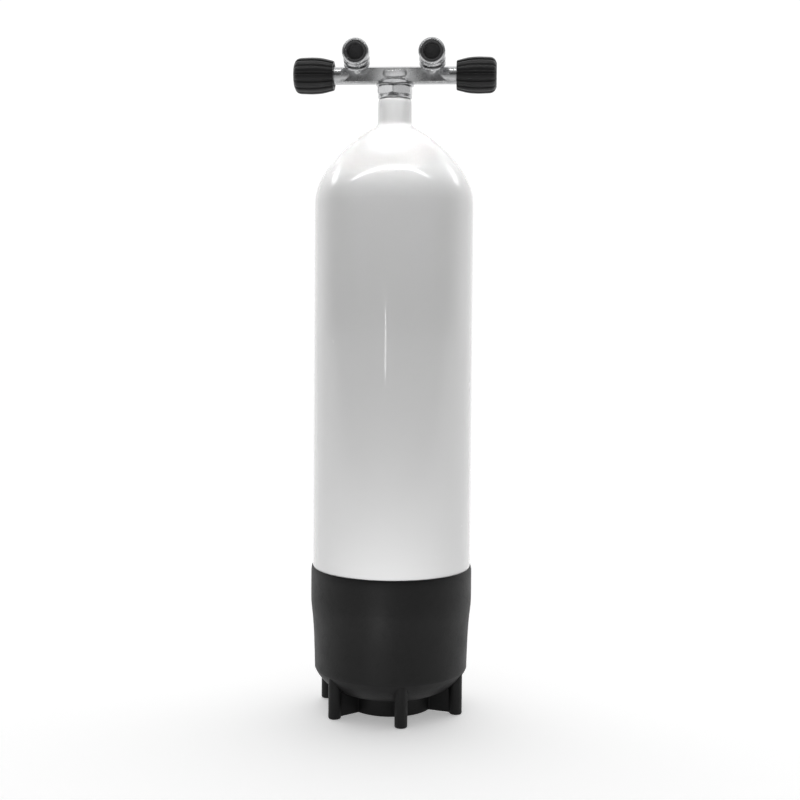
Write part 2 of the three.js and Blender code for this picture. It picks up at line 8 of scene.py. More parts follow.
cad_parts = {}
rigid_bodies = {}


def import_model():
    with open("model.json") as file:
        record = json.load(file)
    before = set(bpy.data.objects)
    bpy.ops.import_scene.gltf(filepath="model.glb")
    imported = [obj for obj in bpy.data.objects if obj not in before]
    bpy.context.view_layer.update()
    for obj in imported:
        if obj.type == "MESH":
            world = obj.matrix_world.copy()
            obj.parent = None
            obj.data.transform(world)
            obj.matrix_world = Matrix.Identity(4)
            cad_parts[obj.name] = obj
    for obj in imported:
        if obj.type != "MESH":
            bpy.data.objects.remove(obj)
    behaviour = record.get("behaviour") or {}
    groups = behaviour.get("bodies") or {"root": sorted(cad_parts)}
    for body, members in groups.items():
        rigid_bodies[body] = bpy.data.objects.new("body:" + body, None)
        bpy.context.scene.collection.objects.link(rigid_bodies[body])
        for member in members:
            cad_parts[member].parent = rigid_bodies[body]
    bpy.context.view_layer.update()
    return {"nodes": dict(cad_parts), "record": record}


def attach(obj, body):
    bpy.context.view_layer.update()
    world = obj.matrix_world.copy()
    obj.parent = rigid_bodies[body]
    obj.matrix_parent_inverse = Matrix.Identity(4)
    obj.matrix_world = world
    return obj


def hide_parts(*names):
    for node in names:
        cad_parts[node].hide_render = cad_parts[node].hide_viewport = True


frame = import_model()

NODES = frame["nodes"]
MM = 0.001
PI = math.pi


# ------------------------------------------------------------------ mesh tools (all sizes in mm)
def lathe(profile, n, closed=True):
    """Vertices and faces of a profile of (radius, height) turned about Z."""
    verts, rings, faces = [], [], []
    for r, z in profile:
        if r < 1e-6:
            rings.append([len(verts)])
            verts.append((0.0, 0.0, z))
        else:
            b = len(verts)
            for k in range(n):
                a = 2 * PI * k / n
                verts.append((r * math.cos(a), r * math.sin(a), z))
            rings.append(list(range(b, b + n)))
    pairs = list(zip(rings, rings[1:]))
    if closed and len(rings[0]) > 1 and len(rings[-1]) > 1:
        pairs.append((rings[-1], rings[0]))
    for a, b in pairs:
        if len(a) == 1 and len(b) == 1:
            continue
        for k in range(n):
            q = (k + 1) % n
            if len(a) == 1:
                faces.append((a[0], b[q], b[k]))
            elif len(b) == 1:
                faces.append((a[k], a[q], b[0]))
            else:
                faces.append((a[k], a[q], b[q], b[k]))
    return verts, faces


def rounded(points, radius, closed=False, steps=4, keep=()):
    """Corners of a profile eased by up to `radius`; indices in keep stay sharp."""
    out, n = [], len(points)
    for i, p in enumerate(points):
        if (not closed and i in (0, n - 1)) or i in keep:
            out.append(p)
            continue
        a, b = points[i - 1], points[(i + 1) % n]
        da, db = math.dist(a, p), math.dist(b, p)
        if da < 1e-6 or db < 1e-6:
            continue
        t = min(radius, 0.42 * da, 0.42 * db)
        p0 = (p[0] + (a[0] - p[0]) * t / da, p[1] + (a[1] - p[1]) * t / da)
        p2 = (p[0] + (b[0] - p[0]) * t / db, p[1] + (b[1] - p[1]) * t / db)
        for k in range(steps + 1):
            s = k / steps
            out.append(
                tuple(
                    (1 - s) ** 2 * p0[j] + 2 * s * (1 - s) * p[j] + s * s * p2[j]
                    for j in (0, 1)
                )
            )
    return out


def monotone(points, step):
    """A smooth, non-overshooting radius over height through the given (radius, height) points."""
    z = [p[1] for p in points]
    r = [p[0] for p in points]
    n = len(z)
    d = [(r[i + 1] - r[i]) / (z[i + 1] - z[i]) for i in range(n - 1)]
    m = [d[0]] + [
        0 if d[i - 1] * d[i] <= 0 else 2 * d[i - 1] * d[i] / (d[i - 1] + d[i])
        for i in range(1, n - 1)
    ] + [d[-1]]
    out = []
    for i in range(n - 1):
        h = z[i + 1] - z[i]
        k = max(1, math.ceil(h / step))
        for j in range(k):
            t = j / k
            out.append(
                (
                    (2 * t**3 - 3 * t * t + 1) * r[i]
                    + (t**3 - 2 * t * t + t) * h * m[i]
                    + (3 * t * t - 2 * t**3) * r[i + 1]
                    + (t**3 - t * t) * h * m[i + 1],
                    z[i] + h * t,
                )
            )
    out.append((r[-1], z[-1]))
    return out


def to_x(verts, sign=1):
    """Z axis onto +X (or -X, by half a turn about Z)."""
    return [(sign * z, sign * x, y) for x, y, z in verts]


def moved(verts, matrix):
    return [tuple(matrix @ Vector(v)) for v in verts]


def shifted(verts, dx=0, dy=0, dz=0):
    return [(x + dx, y + dy, z + dz) for x, y, z in verts]


def joined(*parts):
    verts, faces = [], []
    for v, f in parts:
        b = len(verts)
        verts += list(v)
        faces += [tuple(i + b for i in q) for q in f]
    return verts, faces


def prism(outline, z0, z1):
    """A closed outline of (x, y) raised from z0 to z1."""
    n = len(outline)
    verts = [(x, y, z0) for x, y in outline] + [(x, y, z1) for x, y in outline]
    faces = [(k, (k + 1) % n, n + (k + 1) % n, n + k) for k in range(n)]
    faces += [tuple(range(n - 1, -1, -1)), tuple(range(n, 2 * n))]
    return verts, faces


def make(name, shape, angle=40):
    verts, faces = shape
    me = bpy.data.meshes.new(name)
    me.from_pydata([(x * MM, y * MM, z * MM) for x, y, z in verts], [], faces)
    me.validate()
    bm = bmesh.new()
    bm.from_mesh(me)
    bmesh.ops.remove_doubles(bm, verts=bm.verts, dist=1e-7)
    bmesh.ops.recalc_face_normals(bm, faces=bm.faces)
    bm.to_mesh(me)
    bm.free()
    o = bpy.data.objects.new(name, me)
    bpy.context.scene.collection.objects.link(o)
    finish_shading(o, angle)
    return o


def finish_shading(o, angle):
    for p in o.data.polygons:
        p.use_smooth = True
    if angle:
        o.data.set_sharp_from_angle(angle=math.radians(angle))
    o.data.update()


def applied(o):
    """Bakes an object's modifiers into its mesh."""
    dg = bpy.context.evaluated_depsgraph_get()
    me = bpy.data.meshes.new_from_object(o.evaluated_get(dg), depsgraph=dg)
    old = o.data
    o.modifiers.clear()
    o.data = me
    me.name = o.name
    bpy.data.meshes.remove(old)
    return o


def remeshed(o, voxel, smooth=4, factor=0.5):
    m = o.modifiers.new("skin", "REMESH")
    m.mode = "VOXEL"
    m.voxel_size = voxel * MM
    m.use_smooth_shade = True
    if smooth:
        s = o.modifiers.new("ease", "SMOOTH")
        s.factor = factor
        s.iterations = smooth
    return applied(o)


def cut(o, tool):
    m = o.modifiers.new("cut", "BOOLEAN")
    m.operation = "DIFFERENCE"
    m.solver = "EXACT"
    m.object = tool
    applied(o)
    me = tool.data
    bpy.data.objects.remove(tool)
    bpy.data.meshes.remove(me)
    return o


def place(o, material, body, slot, *replaced):
    o.data.materials.clear()
    o.data.materials.append(material)
    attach(o, body)
    if replaced:
        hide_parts(*replaced)
    return o


# ------------------------------------------------------------------ materials
class Nodes:
    def __init__(self, name):
        self.m = bpy.data.materials.new(name)
        self.m.use_nodes = True
        self.t = self.m.node_tree
        self.t.nodes.clear()
        self.out = self.t.nodes.new("ShaderNodeOutputMaterial")
        self.b = self.t.nodes.new("ShaderNodeBsdfPrincipled")
        self.link(self.b.outputs[0], self.out.inputs[0])
        self.co = self.t.nodes.new("ShaderNodeTexCoord").outputs["Object"]

    def link(self, a, b):
        self.t.links.new(a, b)

    def stretched(self, x, y, z):
        n = self.t.nodes.new("ShaderNodeMapping")
        n.inputs["Scale"].default_value = (x, y, z)
        self.link(self.co, n.inputs["Vector"])
        return n.outputs["Vector"]

    def noise(self, scale, detail=3.0, rough=0.55, vector=None, distortion=0.0):
        n = self.t.nodes.new("ShaderNodeTexNoise")
        n.inputs["Scale"].default_value = scale
        n.inputs["Detail"].default_value = detail
        n.inputs["Roughness"].default_value = rough
        n.inputs["Distortion"].default_value = distortion
        self.link(vector or self.co, n.inputs["Vector"])
        return n.outputs["Fac"]

    def ranged(self, value, lo, hi, a, b):
        n = self.t.nodes.new("ShaderNodeMapRange")
        n.inputs["From Min"].default_value = lo
        n.inputs["From Max"].default_value = hi
        n.inputs["To Min"].default_value = a
        n.inputs["To Max"].default_value = b
        self.link(value, n.inputs["Value"])
        return n.outputs["Result"]

    def math(self, op, a, b):
        n = self.t.nodes.new("ShaderNodeMath")
        n.operation = op
        for i, v in enumerate((a, b)):
            if isinstance(v, (int, float)):
                n.inputs[i].default_value = v
            else:
                self.link(v, n.inputs[i])
        return n.outputs[0]

    def mix(self, fac, a, b):
        n = self.t.nodes.new("ShaderNodeMix")
        n.data_type = "RGBA"
        self.link(fac, n.inputs["Factor"])
        for k, v in (("A", a), ("B", b)):
            s = [i for i in n.inputs if i.name == k and i.type == "RGBA"][0]
            if isinstance(v, tuple):
                s.default_value = (*v, 1.0)
            else:
                self.link(v, s)
        return [s for s in n.outputs if s.type == "RGBA"][0]

    def bump(self, height, strength, distance, normal=None):
        n = self.t.nodes.new("ShaderNodeBump")
        n.inputs["Strength"].default_value = strength
        n.inputs["Distance"].default_value = distance
        self.link(height, n.inputs["Height"])
        if normal is not None:
            self.link(normal, n.inputs["Normal"])
        return n.outputs["Normal"]

    def pointiness(self):
        return self.t.nodes.new("ShaderNodeNewGeometry").outputs["Pointiness"]

    def set(self, **kw):
        for k, v in kw.items():
            s = self.b.inputs[k.replace("_", " ")]
            if isinstance(v, (int, float, tuple)):
                s.default_value = v
            else:
                self.link(v, s)
        return self


def paint():
    """Sprayed gloss white over steel: slight orange peel, faint haze and rub marks."""
    n = Nodes("tank_paint")
    cloud = n.noise(7, 4, 0.6)
    rubs = n.noise(1.0, 3, 0.6, n.stretched(260, 260, 14))
    colour = n.mix(n.ranged(cloud, 0.35, 0.68, 0, 1), (0.668, 0.668, 0.668), (0.683, 0.683, 0.682))
    fine = n.mix(n.ranged(rubs, 0.68, 0.82, 0, 0.12), colour, (0.70, 0.70, 0.695))
    rough = n.ranged(n.noise(38, 5, 0.6), 0.3, 0.75, 0.20, 0.28)
    peel = n.bump(n.noise(620, 2, 0.5), 0.05, 0.00025)
    wave = n.bump(n.noise(34, 2, 0.5), 0.05, 0.0016, peel)
    n.set(Base_Color=fine, Roughness=rough, Normal=wave)
    n.set(Coat_Weight=1.0, Coat_Roughness=0.06, Coat_IOR=1.6, IOR=1.48)
    n.link(wave, n.b.inputs["Coat Normal"])
    return n.m


def rubber(name, base, light, rough, grain, scuffs=0.5):
    """Moulded black rubber: fine grain, dull patches, paler rub marks and edges."""
    n = Nodes(name)
    cloud = n.noise(22, 5, 0.6)
    marks = n.noise(90, 6, 0.72, distortion=1.2)
    colour = n.mix(n.ranged(cloud, 0.35, 0.7, 0, 1), base, tuple(c * 1.25 for c in base))
    colour = n.mix(n.ranged(marks, 0.62, 0.78, 0, scuffs), colour, light)
    colour = n.mix(n.ranged(n.pointiness(), 0.515, 0.60, 0, 0.55), colour, light)
    r = n.math("ADD", n.ranged(cloud, 0.3, 0.75, rough - 0.05, rough + 0.06), n.ranged(marks, 0.5, 0.8, 0, 0.12))
    coarse = n.bump(n.noise(grain * 0.22, 3, 0.5), 0.18, 0.0006)
    fine = n.bump(n.noise(grain, 3, 0.6), 0.30, 0.00022, coarse)
    n.set(Base_Color=colour, Roughness=r, Normal=fine, IOR=1.5, Specular_IOR_Level=0.27)
    return n.m


def satin_metal(name, base, stain_and_shade, rough, grain, lay=None):
    """Blasted and plated metal: fine tooth, painted shade in the hollows, brighter edges."""
    n = Nodes(name)
    cloud = n.noise(60, 5, 0.62)
    colour = n.mix(n.ranged(cloud, 0.34, 0.72, 0, 1), tuple(c * 0.93 for c in base), base)
    # painted shade: hollows (low pointiness) are darkened toward the stain-and-shade colour, standing in for occlusion
    colour = n.mix(n.ranged(n.pointiness(), 0.40, 0.495, 0.75, 0), colour, stain_and_shade)
    colour = n.mix(n.ranged(n.pointiness(), 0.53, 0.62, 0, 0.7), colour, tuple(min(1, c * 1.22) for c in base))
    stain = n.noise(170, 5, 0.7, distortion=0.8)
    # random stains in the same dark colour, a real stain
    colour = n.mix(n.ranged(stain, 0.62, 0.78, 0, 0.35), colour, stain_and_shade)
    v = n.stretched(*lay) if lay else None
    tooth = n.noise(grain, 3, 0.6, v) if lay else n.noise(grain, 3, 0.6)
    r = n.math("ADD", n.ranged(cloud, 0.3, 0.75, rough - 0.05, rough + 0.05), n.ranged(tooth, 0.3, 0.7, -0.03, 0.04))
    n.set(Base_Color=colour, Metallic=1.0, Roughness=r, Normal=n.bump(tooth, 0.22, 0.00012))
    return n.m


def plastic(name, base, rough, grain):
    n = Nodes(name)
    cloud = n.noise(140, 4, 0.6)
    colour = n.mix(n.ranged(cloud, 0.35, 0.7, 0, 1), base, tuple(c * 1.18 for c in base))
    n.set(
        Base_Color=colour,
        Roughness=n.ranged(cloud, 0.3, 0.75, rough - 0.06, rough + 0.07),
        Normal=n.bump(n.noise(grain, 2, 0.5), 0.2, 0.0001),
        IOR=1.5,
    )
    return n.m


MAT = {
    "tank_paint": paint(),
    "boot_rubber": rubber("boot_rubber", (0.0066, 0.0066, 0.0068), (0.03, 0.03, 0.03), 0.50, 1500, 0.20),
    "knob_rubber": rubber("knob_rubber", (0.0165, 0.0165, 0.017), (0.08, 0.08, 0.08), 0.35, 2600, 0.25),
    "knob_insert": plastic("knob_insert", (0.028, 0.028, 0.03), 0.46, 2200),
    "seal_rubber": rubber("seal_rubber", (0.012, 0.012, 0.012), (0.04, 0.04, 0.04), 0.55, 3200, 0.15),
    "valve_chrome": satin_metal("valve_chrome", (0.54, 0.544, 0.55), (0.17, 0.17, 0.174), 0.27, 2400),
    "valve_brass": satin_metal("valve_brass", (0.66, 0.47, 0.20), (0.24, 0.15, 0.06), 0.30, 1.0, (2600, 300, 300)),
    "steel": satin_metal("steel", (0.60, 0.60, 0.61), (0.22, 0.22, 0.22), 0.26, 2600),
    "seat_nylon": plastic("seat_nylon", (0.74, 0.69, 0.55), 0.45, 2000),
    "plug_plastic": plastic("plug_plastic", (0.075, 0.075, 0.077), 0.42, 2600),
}

# ------------------------------------------------------------------ sizes shared with the CAD (mm)
TANK_R, DOME_TOP, TANK_BOTTOM, WALL = 85.5, 128.0, 24.0, 4.1
SHOULDER = [
    (85.5, 549.5), (85.0, 554), (84.0, 559.5), (82.3, 565.5), (79.8, 571.5), (76.4, 577.8),
    (72.2, 584.2), (67.3, 590.8), (61.6, 597.6), (55.0, 604.4), (47.8, 611.0), (40.0, 617.2),
    (32.5, 622.6), (26.5, 626.2), (22.0, 628.8), (19.6, 631.0), (18.5, 633.4), (18.25, 636),
    (18.2, 654.5), (17.95, 656.8),
]
BAR_Z, BAR_R, BAR_HALF = 685.0, 9.6, 6.3
OUT_X, RISE, OUT_R, OUT_S, FACE = 40.4, math.radians(50), 14.1, 27.5, 30.0
HEAD_Y, HEAD_Z = -OUT_S * math.cos(RISE), BAR_Z + OUT_S * math.sin(RISE)

# ------------------------------------------------------------------ tank
outer = [
    (TANK_R * math.cos(t), DOME_TOP + (DOME_TOP - TANK_BOTTOM) * math.sin(t))
    for t in [math.radians(-90 + 3.75 * i) for i in range(1, 24)]
]
inner = [
    ((TANK_R - WALL) * math.cos(t), DOME_TOP + (DOME_TOP - TANK_BOTTOM - 7) * math.sin(t))
    for t in [math.radians(-90 + 7.5 * i) for i in range(1, 12)]
]
profile = (
    [(0, TANK_BOTTOM)]
    + outer
    + [(TANK_R, DOME_TOP + 0.0)]
    + [(TANK_R, z) for z in range(160, 541, 20)]
    + monotone(SHOULDER, 2.0)
    + rounded([(17.95, 656.8), (17.0, 659.3), (15.5, 659.3), (15.5, 656.8), (12.6, 656.8)], 0.6)[1:]
    + [(12.6, 628), (18, 623), (32, 614.5), (49, 601), (65, 583), (77, 562), (TANK_R - WALL, 544)]
    + [(TANK_R - WALL, DOME_TOP)]
    + inner[::-1]
    + [(0, TANK_BOTTOM + 7)]
)
tank = make("tank", lathe(profile, 192, closed=False), 50)
place(tank, MAT["tank_paint"], "cylinder", "tank_paint", "cylinder_shell")

# ------------------------------------------------------------------ boot: cup, then posts on webs
EDGE_R, EDGE_Z = 82.9, 45.0
BOWL_OUT = [(14, 13.2), (22, 13.6), (37, 15.6), (50, 19), (61, 23.4), (69, 28.3), (74.5, 33), (78.4, 37.4), (81, 41.4), (82.9, 45)]
BOWL_IN = [(14, 15.8), (36.5, 18.1), (49.2, 21.6), (59.8, 26.1), (67.3, 30.8), (72.4, 35), (76, 38.9), (78.5, 42.5), (80.2, 46)]


def along_curve(points, r):
    """Height of a curve of (r, z) at radius r."""
    for (r0, z0), (r1, z1) in zip(points, points[1:]):
        if r <= r1:
            return z0 + (z1 - z0) * (r - r0) / (r1 - r0)
    return points[-1][1]


def eased(points, k=4):
    """A smooth curve through the points."""
    out = []
    for i in range(len(points) - 1):
        p0 = points[max(i - 1, 0)]
        p1, p2 = points[i], points[i + 1]
        p3 = points[min(i + 2, len(points) - 1)]
        for j in range(k):
            t = j / k
            out.append(
                tuple(
                    0.5 * (2 * p1[c] + (p2[c] - p0[c]) * t + (2 * p0[c] - 5 * p1[c] + 4 * p2[c] - p3[c]) * t * t + (3 * p1[c] - p0[c] - 3 * p2[c] + p3[c]) * t**3)
                    for c in (0, 1)
                )
            )
    return out + [points[-1]]


def bowl(r):
    return along_curve(BOWL_OUT, max(14.0, min(r, 82.9)))


cup_out = monotone(
    [(EDGE_R, EDGE_Z), (83.1, 53), (83.5, 66), (83.95, 79), (84.5, 89), (85.3, 99.5), (86.4, 109.5), (87.15, 117.5), (87.3, 127), (87.3, 150.2)],
    4.0,
)
cup_in = [(80.2, 46), (80.4, 53), (80.8, 66), (81.4, 79), (82.2, 92), (83.2, 101), (84.8, 110.5), (85.95, 121), (85.95, 155.7)]
seat = [(40, 36.0 - 0.6), (43, 38.0 - 0.8), (46, 40.3 - 0.9)]
under_in = [(r, along_curve(BOWL_IN, r)) for r in (20, 30, 36.5, 39.6)]
under_in2 = [(r, along_curve(BOWL_IN, r)) for r in (46.4, 49.2, 54, 59.8, 64, 67.3, 70, 72.4, 74.4, 76, 78.5)]
rim = rounded([(87.3, 150.2), (86.95, 153.6), (86.45, 155.9), (85.95, 155.9), (85.95, 154.6)], 0.5)[1:-1]
cup = (
    [(14.0, 15.6), (14.0, 13.6)]
    + eased(BOWL_OUT)[1:-1]
    + [(82.7, 44.62), (82.92, 45.3)]
    + cup_out[1:]
    + rim
    + cup_in[::-1]
    + under_in2[::-1]
    + seat[::-1]
    + under_in[::-1]
)
boot = make("boot_cup", lathe(cup, 192), 42)
place(boot, MAT["boot_rubber"], "cylinder", "boot_rubber", "boot")


LEG_AT, LEG_R, LEG_TURN, RING_IN, RING_OUT, WEB_LOW = 75.5, 6.8, 12.9, 41.0, 45.5, 1.0


def web(angle):
    z = lambda r: bowl(r) + 1.0
    verts, faces = [], []
    rs = [RING_OUT - 2, 50, 56, 62, 68, 72, LEG_AT]
    for r in rs:
        for y in (-2.3, 2.3):
            verts += [(r, y, WEB_LOW), (r, y, z(r))]
    for i in range(len(rs) - 1):
        a, b = 4 * i, 4 * (i + 1)
        faces += [(a, b, b + 1, a + 1), (a + 2, a + 3, b + 3, b + 2), (a, a + 2, b + 2, b), (a + 1, b + 1, b + 3, a + 3)]
    faces += [(0, 1, 3, 2)]
    e = 4 * (len(rs) - 1)
    faces += [(e, e + 2, e + 3, e + 1)]
    return moved(verts, Matrix.Rotation(angle, 3, "Z")), faces


pieces = [
    lathe(
        rounded([(RING_IN, WEB_LOW), (RING_OUT, WEB_LOW), (RING_OUT, bowl(RING_OUT) + 1.0), (RING_IN, bowl(RING_IN) + 1.0)], 0.8, closed=True),
        160,
    )
]
for i in range(6):
    a = math.radians(-90 + LEG_TURN + 60 * i)
    rows = [(0, 0), (LEG_R - 1.0, 0), (LEG_R - 0.3, 0.3), (LEG_R, 1.0), (LEG_R, 12), (LEG_R, 25), (LEG_R, 46), (0, 46)]
    post = lathe(rows, 48, closed=False)
    pv = []
    for x, y, z in shifted(post[0], LEG_AT):
        pv.append((x, y, min(z, bowl(math.hypot(x, y)) + 0.9) if z > 14 else z))
    pieces += [(moved(pv, Matrix.Rotation(a, 3, "Z")), post[1]), web(a)]
fins = make("boot_fins", joined(*pieces), 0)
remeshed(fins, 0.62, 3)
finish_shading(fins, 0)
place(fins, MAT["boot_rubber"], "cylinder", "boot_rubber")

# ------------------------------------------------------------------ hexagon with chamfers, as one smooth grid
def hex_ring(flats, r_in, z0, z1, c0, c1, n=216, soft=0.25, turn=0.0):
    """A hexagonal collar: a hexagon of `flats` across, cut back by cones at both ends, open in the middle."""
    rows = []
    heights = [z0 + (z1 - z0) * k / 20 for k in range(21)]
    top_r = flats / 2 - 0.1
    for z in heights:
        lim = min(top_r + (z - z0) / c0, top_r + (z1 - z) / c1)
        ring = []
        for k in range(n):
            a = 2 * PI * k / n
            f = (a - turn) % (PI / 3) - PI / 6
            h = flats / 2 / math.cos(f)
            d = h - lim
            r = 0.5 * (h + lim - math.sqrt(d * d + soft * soft)) + 0.0
            ring.append((r * math.cos(a), r * math.sin(a), z))
        rows.append(ring)
    first = [(r_in * math.cos(2 * PI * k / n), r_in * math.sin(2 * PI * k / n), z0) for k in range(n)]
    last = [(x, y, z1) for x, y, _ in first]
    rows = [first] + rows + [last]
    verts = [v for r in rows for v in r]
    faces = []
    m = len(rows)
    for i in range(m):
        j = (i + 1) % m
        for k in range(n):
            q = (k + 1) % n
            faces.append((i * n + k, i * n + q, j * n + q, j * n + k))
    return verts, faces


stem = lathe(
    rounded(
        [(4.3, 632), (11.2, 632), (12.2, 633.4), (12.2, 659.9), (17.1, 659.9), (18.1, 660.8), (18.1, 663.4), (17.3, 663.95), (9, 663.95), (9, 678.5), (2.5, 678.5), (2.5, 641.2), (4.3, 641.2)],
        0.35,
        closed=True,
    ),
    120,
)
# turned so that one corner of the hexagon faces forward
hexagon = hex_ring(35, 9.05, 663.75, 673.1, 0.62, 0.55, turn=PI / 2 - math.radians(2.7))
connector = make("connector", joined(stem, hexagon), 28)
place(connector, MAT["valve_chrome"], "cylinder", "valve_chrome", "inlet_connector")

# ------------------------------------------------------------------ valve body
section = []
sweep = math.asin(BAR_HALF / BAR_R)
for base in (PI / 2, 3 * PI / 2):
    for i in range(17):
        a = base - sweep + 2 * sweep * i / 16
        section.append((BAR_R * math.cos(a), BAR_R * math.sin(a)))
slab_v, slab_f = prism(section, -59.5, 59.5)
slab = [(z, x, y) for x, y, z in slab_v]
end = rounded(
    [(0, 43.5), (4.02, 43.5), (BAR_R, 57.7), (BAR_R, 70), (7.6, 70), (7.6, 68.5), (6.3, 68.5), (6.3, 62), (0, 62)],
    0.5,
    keep=(1, 2),
)
end_v, end_f = lathe(end, 96, closed=False)
foot = lathe(
    rounded([(0, 673.4), (20.1, 673.4), (20.1, 675.5), (19.4, 676.1), (17.8, 678), (14.4, 679.7), (12, 680.8), (6, 682.1), (0, 682.4)], 0.5),
    128,
    closed=False,
)
pad = []
for i in range(64):
    a = 2 * PI * i / 64
    pad.append((8.45 * (1 if math.cos(a) > 1e-9 else -1 if math.cos(a) < -1e-9 else 0) + 3.35 * math.cos(a), 3.35 * math.sin(a)))
frame_v, frame_f = prism(pad, BAR_HALF - 1.0, BAR_HALF + 0.55)
frame_v = [(x, -z, y + 1.2 + BAR_Z) for x, y, z in frame_v]
to_post = Matrix.Rotation(PI / 2 - RISE, 3, "X")
boss_profile = rounded(
    [(0, 13.3), (13.3, 13.3), (14.0, 13.9), (14.0, 15.9), (0, 15.9)], 0.45
)
boss = lathe(boss_profile, 96, closed=False)
boss_neck = lathe([(0, 0.0), (5.0, 0.0), (5.0, 12.0), (6.2, 13.8), (0, 13.8)], 64, closed=False)
parts = [
    (shifted(slab, dz=BAR_Z), slab_f),
    (shifted(to_x(end_v), dz=BAR_Z), end_f),
    (shifted(to_x(end_v, -1), dz=BAR_Z), end_f),
    foot,
    (frame_v, frame_f),
]
for side in (-1, 1):
    parts.append((shifted(moved(boss[0], to_post), side * OUT_X, 0, BAR_Z), boss[1]))
    parts.append((shifted(moved(boss_neck[0], to_post), side * OUT_X, 0, BAR_Z + 1.2), boss_neck[1]))
body = make("valve_forging", joined(*parts), 0)
remeshed(body, 0.42, 3)
# the pad's face is sunk a little inside a raised rim, left blank
sunk = []
for i in range(64):
    a = 2 * PI * i / 64
    sunk.append((8.3 * (1 if math.cos(a) > 1e-9 else -1 if math.cos(a) < -1e-9 else 0) + 2.45 * math.cos(a), 2.45 * math.sin(a)))
sv, sf = prism(sunk, BAR_HALF + 0.2, BAR_HALF + 2)
cut(body, make("pad_tool", ([(x, -z, y + 1.2 + BAR_Z) for x, y, z in sv], sf), 0))
for side in (-1, 1):
    room = lathe([(0, 52.0), (3.4, 52.0), (3.4, 50.8), (4.9, 50.8), (4.9, 62.9), (0, 62.9)], 96, closed=False)
    cut(body, make("chamber_tool", (shifted(to_x(room[0], side), dz=BAR_Z), room[1]), 0))
finish_shading(body, 32)
place(body, MAT["valve_chrome"], "cylinder", "valve_chrome", "valve_body")

# ------------------------------------------------------------------ outlets
depth = FACE + HEAD_Y
head = rounded([(0, 0), (12.6, 0), (14.1, 1.5), (OUT_R, depth)], 0.2) + [
    (OUT_R * math.cos(math.radians(a)) if a < 90 else 0, depth + OUT_R * math.sin(math.radians(a)))
    for a in range(5, 91, 5)
]
head_v, head_f = lathe(head, 128, closed=False)
neck = lathe(
    rounded([(0, 16.2), (11.4, 16.2), (11.4, 19.1), (14.1, 19.1), (14.1, 21.4), (0, 21.4)], 0.35), 128, closed=False
)
elbow = make(
    "elbow_blank",
    joined(
        (shifted([(x, z, -y) for x, y, z in head_v], 0, -FACE, HEAD_Z), head_f),
        (shifted(moved(neck[0], to_post), 0, 0, BAR_Z), neck[1]),
    ),
    0,
)
remeshed(elbow, 0.34, 2)


def thread_tool(minor, major, mouth, length, pitch, n=96):
    """Bore with a helical thread, opened by a chamfer at its mouth and a drilling at its foot."""
    rows = []
    per = 10
    count = int(length / pitch * per)
    for i in range(count + 1):
        z = length * i / count
        row = []
        for k in range(n):
            a = 2 * PI * k / n
            f = (z / pitch + k / n) % 1.0
            tri = 1 - abs(2 * f - 1)
            r = minor + (major - minor) * min(1.0, max(0.0, 1.5 * tri - 0.25))
            if z > length - 1.6:
                r = minor
            r = max(r, mouth - z)
            row.append((r * math.cos(a), r * math.sin(a), z))
        rows.append(row)
    front = [(mouth + 1.0) * 1.0] * n
    rows.insert(0, [(f * math.cos(2 * PI * k / n), f * math.sin(2 * PI * k / n), -1.0) for k, f in enumerate(front)])
    rows.append([(2.5 * math.cos(2 * PI * k / n), 2.5 * math.sin(2 * PI * k / n), length) for k in range(n)])
    rows.append([(2.5 * math.cos(2 * PI * k / n), 2.5 * math.sin(2 * PI * k / n), length + 4) for k in range(n)])
    verts = [v for r in rows for v in r]
    faces = []
    for i in range(len(rows) - 1):
        for k in range(n):
            q = (k + 1) % n
            faces.append((i * n + k, i * n + q, (i + 1) * n + q, (i + 1) * n + k))
    faces += [tuple(range(n)), tuple(range(len(verts) - n, len(verts)))]
    return verts, faces


tv, tf = thread_tool(10.3, 11.25, 12.1, 13.0, 1.814)
cut(elbow, make("thread_tool", (shifted([(x, z, -y) for x, y, z in tv], 0, -FACE, HEAD_Z), tf), 0))
plug_shape = lathe(
    rounded(
        [(0, 11.4), (9.0, 11.4), (9.9, 10.4), (10.0, 2.0), (11.25, 0.75), (11.1, 0.35), (9.7, 0.35), (8.9, 1.3), (8.5, 9.8), (0, 9.8)],
        0.3,
    ),
    96,
    closed=False,
)
for side, name in ((-1, "left"), (1, "right")):
    e = bpy.data.objects.new(name + "_elbow", elbow.data.copy())
    e.data.name = e.name
    bpy.context.scene.collection.objects.link(e)
    e.data.transform(Matrix.Translation((side * OUT_X * MM, 0, 0)))
    finish_shading(e, 34)
    place(e, MAT["valve_chrome"], "cylinder", "valve_chrome", name + "_outlet")
    p = make(name + "_plug", (shifted([(x, z, -y) for x, y, z in plug_shape[0]], side * OUT_X, -FACE, HEAD_Z), plug_shape[1]), 40)
    place(p, MAT["plug_plastic"], name + "_plug", "plug_plastic", name + "_dust_plug")
blank = elbow.data
bpy.data.objects.remove(elbow)
bpy.data.meshes.remove(blank)

# ------------------------------------------------------------------ handwheels
GRIP = [(15.4, 66.0), (15.9, 66.7), (16.4, 68.4), (17.4, 72.2), (18.3, 76), (19.0, 79.9), (19.4, 84.5), (19.6, 90.2), (19.4, 96), (19.2, 101), (18.8, 103.4), (17.9, 105.4), (15.6, 107.4), (13.4, 108.4)]


